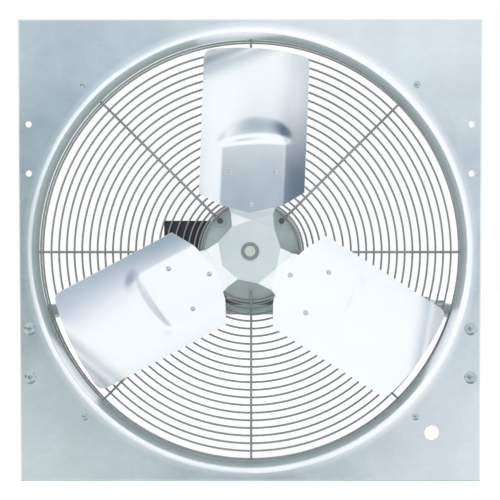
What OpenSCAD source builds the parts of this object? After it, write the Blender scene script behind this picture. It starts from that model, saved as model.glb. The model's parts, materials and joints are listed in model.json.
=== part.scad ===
// Direct-drive panel fan: square galvanised panel with a drawn venturi, three-blade
// propeller, motor on a sheet-metal shelf and a round wire guard behind.
// The fan axis lies along Y and crosses the panel's front face at the origin.
// Air leaves towards -Y; the motor, shelf and guard are on the intake side, +Y.

/* [Panel] */
// Width and height of the square panel
panel_w = 698.5; // [620:0.5:800]
// Thickness of the panel and venturi sheet
sheet_t = 1.2; // [0.9:0.1:1.6]
// Depth of the flange that is turned back round the panel
flange_d = 25.4; // [15:1:30]
// Outside radius of the flange's bend
flange_bend_r = 3; // [2:0.5:5]
// Distance of the side holes from the panel's side edges
side_hole_inset = 15.75; // [14:0.25:18]
// Height of the nearer side holes above or below the fan axis
side_hole_z1 = 117.2; // [112:1:125]
// Height of the farther side holes above or below the fan axis
side_hole_z2 = 191; // [180:1:200]
// Diameter of the open mounting holes
mount_hole_d = 9.5; // [7:0.5:11]
// Diameter of the wiring hole in the lower right corner
wire_hole_d = 22.2; // [16:0.1:28]
// Distance of the wiring hole from the panel's edges, both ways
wire_hole_inset = 74.25; // [50:0.25:80]

/* [Venturi] */
// Flat border between the venturi's bend and the panel's edges, where it is narrowest
panel_border = 12.7; // [11:0.1:16]
// Height of the collar in front of the panel
collar_h = 50.8; // [45:1:60]
// Radius of the bell mouth, on the air side
bell_r = 25.4; // [18:0.5:26]

/* [Propeller] */
// Gap between the venturi and the blade tips, on the arms' centre lines
tip_gap = 7.6; // [6:0.1:14]
// Distance to one side of the fan axis of the centre that the tips' arcs are drawn about
tip_aside = 53.5; // [0:0.5:56]
// Turn of the propeller at rest, clockwise seen from the discharge side, degrees
rest_turn = 2.2; // [0:0.1:4]
// Number of blades
blade_n = 3; // [2:1:3]
// Blade width along its chord
blade_chord = 174.3; // [160:1:180]
// Blade pitch, degrees
blade_pitch = 25; // [20:1:26]
// Thickness of the blade sheet
blade_t = 1.6; // [1.2:0.1:2]
// Depth of the blade's camber
blade_camber = 9; // [7:0.5:10]
// Distance from the axis to the inner point of the blade
blade_root_r = 57.5; // [55:0.5:59]
// Radius of the blade's tip corners
blade_corner_r = 14; // [8:1:20]
// Width of the flat riveting pad pressed into each blade
pad_w = 102; // [98:1:108]
// Distance from the axis to the outer end of the riveting pad
pad_end_r = 161; // [150:1:170]
// Length of the slope that joins the pad to the blade
pad_slope_l = 15; // [10:1:20]
// Thickness of the spider plate
spider_t = 4; // [3:0.5:5]
// Distance of the spider's centre plane behind the panel's front face
prop_y = -4; // [-6:0.5:0]
// Distance from the axis to the outer end of each spider arm
arm_end_r = 134; // [128:1:140]
// Distance of the outer rivets from the axis, along the arm
rivet_r_out = 118; // [112:1:122]
// Distance of the inner rivet from the axis
rivet_r_in = 70; // [68:1:78]
// Distance between the two outer rivets
rivet_spacing = 77; // [70:1:80]
// Rivet shank diameter
rivet_d = 4.8; // [4:0.2:5.6]
// Diameter of the hub's nose in front of the spider
hub_nose_d = 27; // [24:0.5:30]
// Diameter of the hub behind the spider
hub_d = 38; // [34:1:44]
// Length of the hub behind the spider
hub_l = 30; // [24:1:36]

/* [Motor] */
// Outside diameter of the motor shell
motor_d = 165; // [160:1:166]
// Thickness of the motor shell
shell_t = 2.5; // [2:0.1:3]
// Distance of the motor's front face behind the panel's front face
motor_y = 65; // [64.5:0.5:68]
// Length of the shell between the end bells
shell_l = 152; // [145:1:160]
// Depth of each end bell outside the shell
bell_d = 15; // [12:1:18]
// Diameter of the flat front face of an end bell
bell_face_d = 150.8; // [146:0.5:154]
// Wall thickness of an end bell
bell_wall = 5; // [4:0.5:6]
// Shaft diameter
shaft_d = 15.875; // [14:0.125:16]
// Diameter of the shaft where the rotor core sits
rotor_seat_d = 22; // [19:1:26]
// Radial clearance between the shaft and its sleeve bearings
bearing_clear = 0.03; // [0.02:0.01:0.05]
// Outside diameter of the sleeve bearings
bearing_d = 25.4; // [23:0.2:27]
// Length of the sleeve bearings
bearing_l = 22; // [18:1:25]
// Radius of the circle of through bolts
tie_r = 70; // [69:0.5:71]
// Diameter of the through bolts
tie_d = 6; // [5:0.5:7]
// Diameter of the bosses round the through bolts
tie_boss_d = 18; // [16:0.5:19]
// Length of the laminated cores
core_l = 76; // [60:1:80]
// Distance of the cores from the rear end of the shell
core_back = 32; // [30:1:34]
// Bore of the stator core
stator_bore_d = 95.7; // [90:0.1:100]
// Air gap between rotor and stator
air_gap = 0.35; // [0.3:0.05:0.6]
// Number of stator slots
slot_n = 24; // [18:6:36]
// Width of a stator slot
slot_w = 5; // [4:0.5:6]
// Depth of the winding behind the stator bore
slot_depth = 16; // [12:0.5:16.5]

/* [Guard] */
// Distance from the panel's edges to the wire centres of the guard's legs
guard_inset = 6.35; // [5:0.05:8]
// Distance of the flat guard face behind the panel's front face
guard_y = 96; // [94:0.5:98]
// Distance between neighbouring rings, evened out on the flat face
ring_pitch = 12.7; // [12:0.1:14]
// Ring wire diameter
ring_wire_d = 3.2; // [2.6:0.1:3.4]
// Spoke wire diameter
spoke_wire_d = 4; // [3.6:0.2:4.4]
// Radius of the innermost ring of the flat face
face_in_r = 114.3; // [110:0.1:125]
// Slope of each step of the dished centre, degrees, from the face inwards
dish_slopes = [28, 36, 50, 60];
// Rings round the side of the guard
side_ring_n = 3; // [1:1:3]
// Number of spokes
spoke_n = 8; // [4:4:8]
// Inner radius reached by the level and upright spokes
spoke_tip_r = 62; // [56:1:70]
// Bend radius at the outer corner of a spoke
spoke_bend_r = 10; // [8:1:14]
// Distance from a spoke's leg out to its screw
guard_foot = 11.36; // [10:0.01:14]
// Guard screw diameter
guard_screw_d = 5; // [4:0.5:6]

/* [Shelf and brackets] */
// Height of the motor shaft above the shelf
shaft_height = 88.9; // [88:0.1:92]
// Distance of the shelf's front edge behind the panel's front face
shelf_y = 125; // [120:1:130]
// Depth of the shelf, front to back
shelf_depth = 185; // [180:1:200]
// Height of the lips bent down along the shelf
shelf_lip = 17; // [14:1:22]
// Thickness of the shelf and bracket steel
steel_t = 2.3; // [1.8:0.1:2.6]
// Distance of the shelf bolts from the shelf's front and rear edges
shelf_bolt_inset = 35; // [25:1:45]
// Width of the bracket webs at the panel, below the side holes
web_foot = 14; // [10:1:40]
// Height of the bracket webs along the rear of the shelf
web_rear_h = 24; // [20:1:40]
// Width of the bracket flanges
bracket_flange = 26; // [24:1:28]
// Bolt diameter of the brackets and shelf
bolt_d = 7.9; // [6:0.1:8]
// Length of the motor base
base_l = 100; // [96:1:110]
// Width of the motor base
base_w = 152; // [145:1:160]
// Thickness of the motor base
base_t = 3; // [2:0.5:3.5]
// Spacing of the base bolts across the motor
base_bolt_x = 123.8; // [118:0.2:130]
// Spacing of the base bolts along the motor
base_bolt_y = 76.2; // [70:0.2:80]

/* [Wiring box] */
// Distance from the fan axis to the box's outer side
box_reach = 143; // [135:1:150]
// Height of the box's top above the fan axis
box_top = 52; // [45:1:55]
// Height of the box
box_h = 100; // [92:1:104]
// Length of the box along the motor
box_l = 96; // [90:1:104]
// Thickness of the box walls
box_t = 1.5; // [1.2:0.1:2]
// Diameter of the conduit knockout in the box's rear wall
knockout_d = 22.2; // [18:0.1:26]
// Diameter of the run capacitor
capacitor_d = 38; // [30:1:40]
// Length of the run capacitor
capacitor_l = 60; // [50:1:65]

/* [Hidden] */
$fn = 96;

eps = 0.01;
// Clearance of a fastener's shank in its hole, on the radius
hole_gap = 0.25;
// Gap between pieces that are seated on each other but not joined
seat_gap = 0.05;
// How much a bend in a wire stands proud of the wire, and how far short of it the straight runs end
bead = 0.15;
bend_short = 0.6;
zinc = [0.74, 0.79, 0.82];
aluminium = [0.86, 0.88, 0.9];
wire_grey = [0.42, 0.45, 0.46];
dark_steel = [0.3, 0.32, 0.33];
motor_grey = [0.55, 0.58, 0.56];
black = [0.1, 0.1, 0.12];
copper = [0.72, 0.42, 0.2];
bronze = [0.66, 0.5, 0.28];

// ---- Panel and venturi ----
bell_cr = panel_w / 2 - panel_border;
bell_cy = sheet_t - bell_r;
orifice_r = bell_cr - bell_r;
side_hole_x = panel_w / 2 - side_hole_inset;
wire_hole_at = panel_w / 2 - wire_hole_inset;
side_holes_z = [side_hole_z1, side_hole_z2];

// ---- Guard: ring centres in the plane of radius and depth ----
guard_r = panel_w / 2 - guard_inset;
ring_r = ring_wire_d / 2;
spoke_r = spoke_wire_d / 2;
weld = ring_r + spoke_r + bead + 0.02;
face_gap_n = round((guard_r - face_in_r) / ring_pitch);
face_pitch = (guard_r - face_in_r) / face_gap_n;
dish_n = len(dish_slopes);
function dish_at(k) = k == 0 ? [face_in_r, guard_y]
    : dish_at(k - 1) - ring_pitch * [cos(dish_slopes[k - 1]), sin(dish_slopes[k - 1])];
function dish_tilt(k) = k == 0 ? dish_slopes[0] / 2
    : k == dish_n ? dish_slopes[dish_n - 1]
    : (dish_slopes[k - 1] + dish_slopes[k]) / 2;
function front_of(p, tilt) = p + weld * [sin(tilt), -cos(tilt)];
dish_end = dish_at(dish_n);
side_ring_gap = 2 * ring_pitch;
leg_r = guard_r;
leg_end_y = guard_y - side_ring_n * side_ring_gap - 2;
// Step of the facets of a spoke's outer corner; the outermost ring lies on this corner
corner_step = 30;
rim_in = spoke_bend_r - (spoke_bend_r * cos(corner_step / 2) + weld) / sqrt(2);
eye_r = guard_screw_d / 2 + 0.5 + spoke_r;
guard_screw_r = guard_r + guard_foot;
guard_screw_at = guard_screw_r / sqrt(2);
eye_y = sheet_t + spoke_r + bead + seat_gap;

// ---- Propeller ----
prop_r = orifice_r - tip_gap;
tip_arc_r = norm([prop_r, tip_aside]);
arm_half = rivet_spacing / 2 + 9;
arm_shoulder = 22;
arm_chamfer = 10;
neck_half = 35;
apex_r = 47;
neck_r = blade_root_r;
// Corners of the flat centre beside each arm, across and along the arm
centre_left = [-28.5, 36];
centre_right = [34.5, 36];
// Camber radius from chord and depth
camber_r = (pow(blade_chord / 2, 2) + pow(blade_camber, 2)) / (2 * blade_camber);
function sag(u) = camber_r - sqrt(pow(camber_r, 2) - pow(u, 2));
pad_sag = sag(pad_w / 2);
rivet_r = rivet_d / 2;
rivet_head_r = rivet_d * 0.85;
rivet_head_h = rivet_d * 0.4;
hub_nose_l = 6;
spider_front = prop_y - spider_t / 2;
spider_back = prop_y + spider_t / 2;
hub_front = spider_front - hub_nose_l;

// ---- Motor, along Y ----
shell_y0 = motor_y + bell_d;
shell_y1 = shell_y0 + shell_l;
motor_y1 = shell_y1 + bell_d;
shell_r = motor_d / 2;
shell_ri = shell_r - shell_t;
spigot_l = 6;
core_y1 = shell_y1 - core_back;
core_y0 = core_y1 - core_l;
rotor_r = stator_bore_d / 2 - air_gap;
bar_r1 = stator_bore_d / 2 + 1.2;
bar_r2 = stator_bore_d / 2 + slot_depth;
end_turn_l = 20;
shaft_r = shaft_d / 2;
bearing_r = bearing_d / 2;
front_bearing_y = motor_y - 3;
rear_bearing_y = motor_y1 + 3 - bearing_l;
bell_hub_r = bearing_r + 7;
shaft_front = hub_front - 2;
shaft_rear = rear_bearing_y + bearing_l - 2;
washer_t = 1.5;
washer_gap = 0.3;
felt_t = 3;
cage_ring_l = 9;
tie_boss_y = motor_y - 0.8;
boss_end_y = motor_y1 + 0.8;
tie_nut_h = 5;

// ---- Shelf, brackets and motor base ----
shelf_z = -shaft_height;
shelf_y1 = shelf_y + shelf_depth;
web_x = panel_w / 2 - sheet_t - 0.8;
shelf_half = web_x - steel_t - 0.5;
bracket_top = shelf_z - steel_t;
bracket_y0 = sheet_t;
lip_gap = 3;
bracket_y1 = shelf_y1 - steel_t - lip_gap;
bracket_low = -side_hole_z2 - 17;
flange_top = -side_hole_z1 + 17;
shelf_bolt_x = web_x - bracket_flange / 2 - 2;
shelf_bolts_y = [shelf_y + shelf_bolt_inset, shelf_y1 - shelf_bolt_inset];
bracket_back = bracket_y0 + steel_t;
web_knee = [shelf_y + 40, bracket_top - web_rear_h];
nut_h = bolt_d * 0.8;
// How far a bolt stands out of its nut
bolt_end = 3;
base_y = shelf_y + 5 + base_l / 2;
base_bolts_y = [base_y - base_bolt_y / 2, base_y + base_bolt_y / 2];
base_top = shelf_z + base_t;
base_wall_x = 48;

// ---- Wiring box ----
box_y0 = guard_y + ring_r + 4;
box_y1 = box_y0 + box_l;
box_low = box_top - box_h;
box_mid = (box_y0 + box_y1) / 2;
lead_y = box_y0 + 11;
lead_z = 10;
lead_r = 3.2;
grommet_r = 6;
block_x = -(box_reach + shell_r) / 2;
block_h = 14;
block_top = box_low + box_t + seat_gap + block_h;
ground_at = [block_x + 17, box_low + 10];
ground_r = 2;

// ======== General shapes ========

module along_y(y0) {
    translate([0, y0, 0]) rotate([-90, 0, 0]) children();
}

// Round bar or tube about the fan axis, from y0 to y1
module round_y(y0, y1, ro, ri = 0) {
    along_y(y0) difference() {
        cylinder(h = y1 - y0, r = ro);
        if (ri > 0) translate([0, 0, -1]) cylinder(h = y1 - y0 + 2, r = ri);
    }
}

// Body of revolution about the fan axis from points of [radius, depth]
module turned(points) {
    rotate([-90, 0, 0]) rotate_extrude() polygon(points);
}

// Flat plate in the X-Z plane with its back at y and thickness t towards the viewer
module plate_xz(y, t) {
    translate([0, y, 0]) rotate([90, 0, 0]) linear_extrude(t) children();
}

module box_at(lo, hi) {
    translate(lo) cube(hi - lo);
}

module at_each(points) {
    for (p = points) translate(p) children();
}

function unit(d) = d / norm(d);

// Turns a piece drawn along Z so that it lies along d
module aimed(d) {
    rotate([0, acos(unit(d)[2]), atan2(d[1], d[0])]) children();
}

// Wire through a list of points: its straight runs end inside a slight bead at each bend
module wire(points, r) {
    last = len(points) - 1;
    ways = [for (i = [0 : last - 1]) points[i + 1] - points[i]];
    for (i = [0 : last - 1]) {
        short = i == 0 ? 0 : bend_short;
        length = norm(ways[i]) - short - (i == last - 1 ? 0 : bend_short);
        translate(points[i]) aimed(ways[i]) translate([0, 0, short]) cylinder(h = length, r = r, $fn = 24);
    }
    for (i = [1 : last - 1]) translate(points[i]) aimed(unit(ways[i - 1]) + unit(ways[i]))
        sphere(r = r + bead, $fn = 32);
}

// Domed head on a plane at y, towards the viewer
module domed_head(y, r, h) {
    ball = (r * r + h * h) / (2 * h);
    intersection() {
        translate([0, y - h + ball, 0]) sphere(r = ball);
        round_y(y - h - 1, y, r);
    }
}

// Six-sided head or nut along Y, across flats w
module hex_y(y0, y1, w) {
    along_y(y0) cylinder(h = y1 - y0, d = w / cos(30), $fn = 6);
}

// Six-sided head or nut along Z, across flats w
module hex_z(z0, z1, w) {
    translate([0, 0, z0]) cylinder(h = z1 - z0, d = w / cos(30), $fn = 6);
}

function square_corners(a) = [[a, 0, a], [-a, 0, a], [-a, 0, -a], [a, 0, -a]];
bracket_points = [for (s = [-1, 1]) for (z = side_holes_z) [s * side_hole_x, 0, -z]];
open_points = [for (s = [-1, 1]) for (z = side_holes_z) [s * side_hole_x, 0, z]];
shelf_points = [for (s = [-1, 1]) for (y = shelf_bolts_y) [s * shelf_bolt_x, y, 0]];
base_points = [for (s = [-1, 1]) for (y = base_bolts_y) [s * base_bolt_x / 2, y, 0]];
tie_points = [for (a = [45 : 90 : 315]) [tie_r * cos(a), 0, tie_r * sin(a)]];

// ======== Panel ========

// Cross-section of the flanged tray, front edges rounded
module tray_profile(inset, depth) {
    half = panel_w / 2 - inset;
    r = flange_bend_r - inset;
    translate([-half, inset + r]) square([2 * half, depth - inset - r]);
    translate([-half + r, inset]) square([2 * (half - r), flange_d]);
    for (s = [-1, 1]) translate([s * (half - r), inset + r]) circle(r = r);
}

module tray(inset, depth) {
    intersection() {
        translate([0, 0, -panel_w]) linear_extrude(2 * panel_w) tray_profile(inset, depth);
        rotate([0, 90, 0]) translate([0, 0, -panel_w]) linear_extrude(2 * panel_w) tray_profile(inset, depth);
    }
}

// Section of the venturi: straight collar, bell mouth and a lap on the panel
module venturi_profile() {
    lap = 2;
    intersection() {
        difference() {
            union() {
                translate([bell_cr, bell_cy]) circle(r = bell_r);
                translate([orifice_r, -collar_h]) square([bell_r, collar_h + bell_cy]);
            }
            translate([bell_cr, bell_cy]) circle(r = bell_r - sheet_t);
            translate([orifice_r + sheet_t, -collar_h - 1]) square([bell_r, collar_h + 1 + bell_cy]);
        }
        translate([orifice_r, -collar_h]) square([bell_r, collar_h + sheet_t]);
    }
    translate([bell_cr, 0]) square([lap, sheet_t]);
}

module venturi_panel() {
    // Cut-out at each corner, so that the flanges of two sides don't meet
    notch = 5;
    color(zinc) {
        difference() {
            tray(0, flange_d);
            tray(sheet_t, flange_d + 1);
            round_y(-1, flange_d + 1, bell_cr + 1);
            for (sx = [-1, 1]) for (sz = [-1, 1])
                translate([sx * panel_w / 2, flange_bend_r + 1 + flange_d, sz * panel_w / 2])
                    cube([notch, 2 * flange_d, notch], center = true);
            at_each(open_points) round_y(-1, sheet_t + 1, mount_hole_d / 2);
            at_each(bracket_points) round_y(-1, sheet_t + 1, bolt_d / 2 + hole_gap);
            at_each(square_corners(guard_screw_at)) round_y(-1, sheet_t + 1, guard_screw_d / 2 + hole_gap);
            translate([wire_hole_at, 0, -wire_hole_at]) round_y(-1, sheet_t + 1, wire_hole_d / 2);
        }
        rotate([-90, 0, 0]) rotate_extrude($fn = 180) venturi_profile();
    }
}

// ======== Guard ========

module ring(radius, y) {
    along_y(y) rotate_extrude($fn = 120) translate([radius, 0]) circle(r = ring_r, $fn = 16);
}

module guard_face_rings() {
    color(wire_grey) {
        for (k = [0 : face_gap_n - 1]) ring(face_in_r + k * face_pitch, guard_y);
        ring(leg_r - rim_in, guard_y - weld - rim_in);
    }
}

module guard_dish_rings() {
    color(wire_grey) for (k = [1 : dish_n]) ring(dish_at(k)[0], dish_at(k)[1]);
}

module guard_side_rings() {
    color(wire_grey) for (k = [1 : side_ring_n]) ring(leg_r - weld, guard_y - k * side_ring_gap);
}

function upright(p) = [p[0], p[1], 0];
// Points of a spoke in the plane of radius and depth, from its inner end outwards
tip_turn = dish_tilt(dish_n) / 2;
function spoke_head(long) = concat(
    long ? [[spoke_tip_r, dish_end[1] - weld],
            dish_end + (front_of(dish_end, tip_turn) - dish_end) / cos(tip_turn)]
        : [front_of(dish_end, dish_tilt(dish_n))],
    [for (k = [dish_n - 1 : -1 : 0]) front_of(dish_at(k), dish_tilt(k))]
);
function spoke_corner() = [for (a = [0 : corner_step : 90])
    [leg_r - spoke_bend_r * (1 - sin(a)), guard_y - weld - spoke_bend_r * (1 - cos(a))]];
function spoke_points(long) = concat(
    spoke_head(long),
    spoke_corner(),
    long ? [[leg_r, leg_end_y]] : [[leg_r, eye_y], [guard_screw_r - eye_r, eye_y]]
);

module spoke(long) {
    wire([for (p = spoke_points(long)) upright(p)], spoke_r);
    if (!long) translate([guard_screw_r, eye_y, 0]) rotate([-90, 0, 0])
        rotate_extrude($fn = 48) translate([eye_r, 0]) circle(r = spoke_r + bead, $fn = 32);
}

module guard_spokes() {
    color(wire_grey) for (k = [0 : spoke_n - 1]) {
        turn = k * 360 / spoke_n + (spoke_n == 4 ? 45 : 0);
        rotate([0, -turn, 0]) spoke(turn % 90 == 0);
    }
}

module guard_screws() {
    color(zinc) at_each(square_corners(guard_screw_at)) {
        domed_head(0, guard_screw_d * 1.1, guard_screw_d * 0.5);
        round_y(-eps, eye_y + spoke_r + 9, guard_screw_d / 2);
    }
}

guard_washer_t = 1.2;
module guard_washers() {
    y0 = eye_y + spoke_r + bead + seat_gap;
    color(zinc) at_each(square_corners(guard_screw_at))
        round_y(y0, y0 + guard_washer_t, eye_r + spoke_r, guard_screw_d / 2 + hole_gap);
}

module guard_nuts() {
    y0 = eye_y + spoke_r + bead + guard_washer_t + 2 * seat_gap;
    color(zinc) at_each(square_corners(guard_screw_at)) difference() {
        hex_y(y0, y0 + 4, guard_screw_d * 1.7);
        round_y(y0 - 1, y0 + 5, guard_screw_d / 2 + seat_gap);
    }
}

// ======== Shelf and brackets ========

module motor_shelf() {
    color(zinc) difference() {
        union() {
            box_at([-shelf_half, shelf_y, shelf_z - steel_t], [shelf_half, shelf_y1, shelf_z]);
            box_at([-shelf_half, shelf_y, shelf_z - shelf_lip], [shelf_half, shelf_y + steel_t, shelf_z]);
            box_at([-shelf_half, shelf_y1 - steel_t, shelf_z - shelf_lip], [shelf_half, shelf_y1, shelf_z]);
        }
        at_each(shelf_points) translate([0, 0, shelf_z - steel_t - 1])
            cylinder(h = steel_t + 2, r = bolt_d / 2 + hole_gap);
        at_each(base_points) translate([0, 0, shelf_z - steel_t - 1])
            cylinder(h = steel_t + 2, r = bolt_d / 2 + hole_gap);
    }
}

// Bracket on the right: a web with one flange on the panel and one under the shelf
module bracket() {
    color(zinc) difference() {
        union() {
            translate([web_x - steel_t, 0, 0]) rotate([90, 0, 90]) linear_extrude(steel_t) polygon([
                [bracket_y0 + seat_gap, bracket_low], [bracket_y0 + web_foot, bracket_low],
                web_knee, [bracket_y1, web_knee[1]], [bracket_y1, bracket_top - seat_gap],
                [bracket_y0 + seat_gap, bracket_top - seat_gap]
            ]);
            box_at([web_x - bracket_flange, bracket_y0 + seat_gap, bracket_low],
                [web_x, bracket_y0 + steel_t, flange_top]);
            box_at([web_x - bracket_flange, shelf_y + steel_t + lip_gap, bracket_top - steel_t],
                [web_x, bracket_y1, bracket_top - seat_gap]);
        }
        at_each(bracket_points) round_y(0, bracket_y0 + steel_t + 1, bolt_d / 2 + hole_gap);
        at_each(shelf_points) translate([0, 0, bracket_top - steel_t - 1])
            cylinder(h = steel_t + 2, r = bolt_d / 2 + hole_gap);
    }
}

module right_bracket() {
    bracket();
}

module left_bracket() {
    mirror([1, 0, 0]) bracket();
}

module bracket_bolts() {
    color(zinc) at_each(bracket_points) {
        domed_head(0, bolt_d * 1.25, bolt_d * 0.55);
        round_y(-eps, bracket_back + nut_h + bolt_end, bolt_d / 2);
    }
}

module bracket_nuts() {
    color(zinc) at_each(bracket_points) difference() {
        hex_y(bracket_back + seat_gap, bracket_back + seat_gap + nut_h, bolt_d * 1.6);
        round_y(bracket_back, bracket_back + nut_h + 1, bolt_d / 2 + seat_gap);
    }
}

// Bolt standing along Z: head on top at z_head, shank down to z_end
module bolt_down(z_head, z_end) {
    hex_z(z_head + seat_gap, z_head + bolt_d * 0.6, bolt_d * 1.6);
    translate([0, 0, z_end]) cylinder(h = z_head - z_end + 1, r = bolt_d / 2);
}

module nut_below(z) {
    difference() {
        hex_z(z - seat_gap - nut_h, z - seat_gap, bolt_d * 1.6);
        translate([0, 0, z - nut_h - 1]) cylinder(h = nut_h + 2, r = bolt_d / 2 + seat_gap);
    }
}

shelf_grip_z = bracket_top - steel_t;
module shelf_bolts() {
    color(zinc) at_each(shelf_points) bolt_down(shelf_z, shelf_grip_z - nut_h - bolt_end);
}

module shelf_nuts() {
    color(zinc) at_each(shelf_points) nut_below(shelf_grip_z);
}

// ======== Motor base ========

module motor_base() {
    color(motor_grey) difference() {
        union() {
            box_at([-base_w / 2, base_y - base_l / 2, shelf_z + seat_gap],
                [base_w / 2, base_y + base_l / 2, base_top]);
            for (s = [-1, 1])
                translate([s * base_wall_x - base_t / 2, base_y - base_l / 2, shelf_z + base_t / 2])
                    cube([base_t, base_l, shell_r / 2]);
        }
        round_y(base_y - base_l, base_y + base_l, shell_r + seat_gap);
        at_each(base_points) translate([0, 0, shelf_z - 1])
            cylinder(h = base_t + 2, r = bolt_d / 2 + hole_gap);
    }
}

module base_bolts() {
    color(zinc) at_each(base_points) bolt_down(base_top, shelf_z - steel_t - nut_h - bolt_end);
}

module base_nuts() {
    color(zinc) at_each(base_points) nut_below(shelf_z - steel_t);
}

// ======== Motor ========

module tie_holes(y0, y1) {
    at_each(tie_points) round_y(y0, y1, tie_d / 2 + hole_gap);
}

module motor_shell() {
    color(motor_grey) difference() {
        round_y(shell_y0, shell_y1, shell_r, shell_ri);
        translate([-shell_r, lead_y, lead_z]) rotate([0, 90, 0]) translate([0, 0, -10])
            cylinder(h = 20, r = grommet_r);
        at_each(box_screw_points) rotate([0, 90, 0]) translate([0, 0, -10])
            cylinder(h = 20, r = box_screw_r + hole_gap);
    }
}

// End bell with its face at y = 0 and its spigot towards +Y
module end_bell_body() {
    face_r = bell_face_d / 2;
    turned([
        [bell_hub_r - 1, 0], [face_r, 0], [shell_r, bell_d * 0.6], [shell_r, bell_d - seat_gap],
        [shell_ri - seat_gap, bell_d - seat_gap], [shell_ri - seat_gap, bell_d + spigot_l],
        [shell_ri - bell_wall, bell_d + spigot_l], [shell_ri - bell_wall, bell_d * 0.6 + bell_wall],
        [face_r - bell_wall, bell_wall], [bell_hub_r - 1, bell_wall]
    ]);
    round_y(-felt_t - 4, bearing_l - 3, bell_hub_r, bearing_r + seat_gap / 2);
    at_each(tie_points) round_y(-0.8, bell_d, tie_boss_d / 2);
}

// Shallow steps across the face, above and below the middle band
module face_steps() {
    step_d = 1.5;
    top_edge = 34;
    low_edge = -58;
    difference() {
        union() {
            box_at([-shell_r, -1, top_edge], [shell_r, step_d, shell_r]);
            box_at([-shell_r, -1, -shell_r], [shell_r, step_d, low_edge]);
        }
        at_each(tie_points) round_y(-2, step_d + 1, tie_boss_d / 2);
        round_y(-2, step_d + 1, bell_hub_r + 2);
    }
}

module front_end_bell() {
    color(motor_grey) translate([0, motor_y, 0]) difference() {
        end_bell_body();
        face_steps();
        at_each(tie_points) round_y(-2, bell_d + spigot_l + 1, tie_d / 2 + hole_gap);
        round_y(-felt_t - 5, bearing_l, bearing_r + seat_gap / 2);
    }
}

module rear_end_bell() {
    color(motor_grey) translate([0, motor_y1, 0]) mirror([0, 1, 0]) difference() {
        end_bell_body();
        at_each(tie_points) round_y(-2, bell_d + spigot_l + 1, tie_d / 2 + hole_gap);
        round_y(-felt_t - 5, bearing_l, bearing_r + seat_gap / 2);
    }
}

module through_bolts() {
    color(dark_steel) at_each(tie_points) {
        hex_y(tie_boss_y - 3.2, tie_boss_y - seat_gap, tie_d * 1.45);
        round_y(tie_boss_y - 1, boss_end_y + tie_nut_h + 2, tie_d / 2);
    }
}

module through_bolt_nuts() {
    color(dark_steel) at_each(tie_points) difference() {
        hex_y(boss_end_y + seat_gap, boss_end_y + tie_nut_h, tie_d * 1.6);
        round_y(boss_end_y, boss_end_y + tie_nut_h + 1, tie_d / 2 + seat_gap);
    }
}

module slot_bars(grow) {
    for (k = [0 : slot_n - 1]) rotate([0, k * 360 / slot_n + 180 / slot_n, 0])
        box_at([bar_r1 - grow, core_y0 - 2, -slot_w / 2 - grow],
            [bar_r2 + grow, core_y1 + 2, slot_w / 2 + grow]);
}

module stator_core() {
    color(dark_steel) difference() {
        round_y(core_y0, core_y1, shell_ri - seat_gap, stator_bore_d / 2);
        slot_bars(0.1);
        tie_holes(core_y0 - 1, core_y1 + 1);
    }
}

module stator_windings() {
    color(copper) {
        slot_bars(0);
        for (y0 = [core_y0 - 1 - end_turn_l, core_y1 + 1]) round_y(y0, y0 + end_turn_l, bar_r2, bar_r1);
    }
}

protector_y = core_y1 + 1 + end_turn_l;
module overload_protector() {
    radius = (bar_r1 + bar_r2) / 2;
    color(black) translate([-radius, 0, 0]) round_y(protector_y + seat_gap, protector_y + 7, 6);
}

module sleeve(y0) {
    color(bronze) round_y(y0, y0 + bearing_l, bearing_r, shaft_r + bearing_clear);
}

module front_bearing() {
    sleeve(front_bearing_y);
}

module rear_bearing() {
    sleeve(rear_bearing_y);
}

module felt_seals() {
    front = front_bearing_y - felt_t - seat_gap;
    rear = rear_bearing_y + bearing_l + seat_gap;
    color([0.8, 0.76, 0.66]) for (y0 = [front, rear])
        round_y(y0, y0 + felt_t, bearing_r - seat_gap, shaft_r + 0.4);
}

// ======== Wiring box ========

box_screw_r = 2;
box_screw_z = [-22, 30];
function shell_x(z) = -sqrt(pow(shell_r, 2) - pow(z, 2));
box_screw_points = [for (z = box_screw_z) [shell_x(z), box_y1 - 16, z]];

module box_void(inset) {
    difference() {
        box_at([-box_reach - (inset > 0 ? 1 : 0), box_y0 + inset, box_low + inset],
            [-shell_r / 2, box_y1 - inset, box_top - inset]);
        round_y(box_y0 - 1, box_y1 + 1, shell_r + seat_gap + inset);
    }
}

knockout_at = [block_x - 2, box_low + 30];
module wiring_box() {
    color(black) difference() {
        box_void(0);
        box_void(box_t);
        translate([knockout_at[0], 0, knockout_at[1]])
            round_y(box_y1 - box_t - 1, box_y1 + 1, knockout_d / 2);
        translate([-shell_r - 5, lead_y, lead_z]) rotate([0, 90, 0]) cylinder(h = 12, r = grommet_r);
        at_each(box_screw_points) rotate([0, 90, 0]) translate([0, 0, -6])
            cylinder(h = 14, r = box_screw_r + hole_gap);
        translate([ground_at[0], 0, ground_at[1]])
            round_y(box_y1 - box_t - 1, box_y1 + 1, ground_r + hole_gap);
    }
    color(black) for (z = cover_screw_z)
        difference() {
            box_at([-box_reach, box_mid - 5, z - 5], [-box_reach + 12, box_mid + 5, z + 5]);
            translate([-box_reach - 1, box_mid, z]) rotate([0, 90, 0])
                cylinder(h = 14, r = cover_screw_r + seat_gap);
        }
}

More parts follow.
